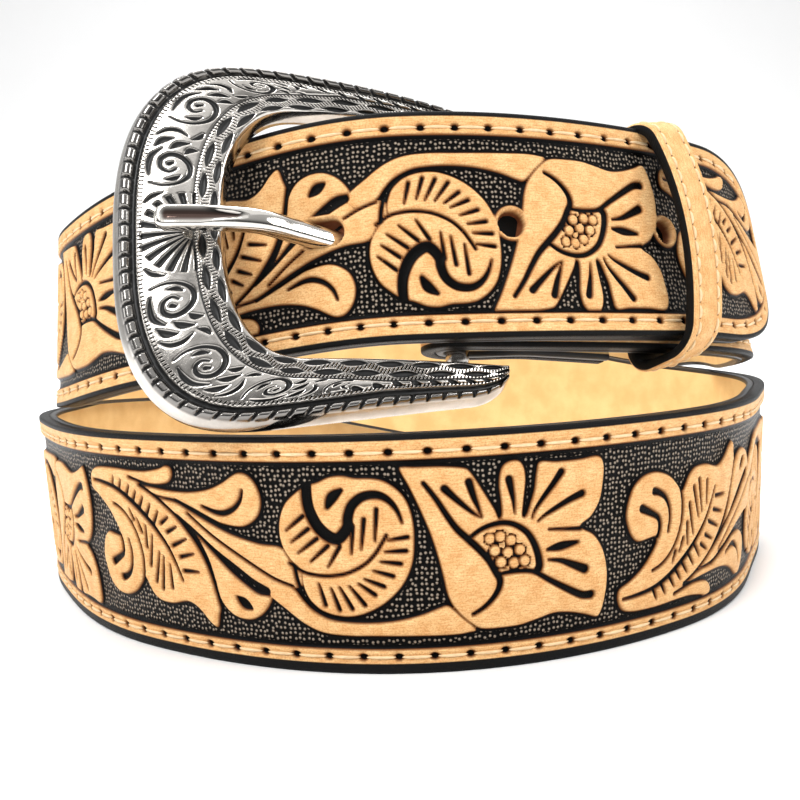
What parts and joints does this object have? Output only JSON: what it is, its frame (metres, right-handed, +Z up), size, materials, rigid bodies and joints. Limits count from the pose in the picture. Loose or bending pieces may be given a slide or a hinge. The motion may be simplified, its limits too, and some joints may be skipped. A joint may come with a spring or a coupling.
{
  "type": "western tooled leather belt",
  "caption": "Tooled western leather belt with an engraved antique nickel buckle and a leather keeper, buckled and wound into a standing coil.",
  "frame": {"origin": "middle of the footprint, on the floor that the lower edge of the belt stands on", "axes": "+Z up, -Y towards the buckle side and the viewer, +X to the viewer's right along the belt's front; the longest way is Y and the shortest is Z"},
  "size_m": [0.1744, 0.1946, 0.0982],
  "materials": {
    "tooled_leather": "light tan vegetable-tanned leather, satin, with black antiquing in the tooling and black edges",
    "lining_leather": "smooth pale lining leather, satin",
    "antique_nickel": "antiqued nickel plate, bright on the high places and black in the engraving",
    "polished_nickel": "polished nickel plate"
  },
  "bodies": {
    "root": {"tooled_strap": "tooled_leather", "strap_lining": "lining_leather", "keeper": "tooled_leather", "buckle_frame": "antique_nickel", "prong": "polished_nickel", "turn_back_post_lower": "antique_nickel", "turn_back_post_upper": "antique_nickel"}
  },
  "joints": []
}
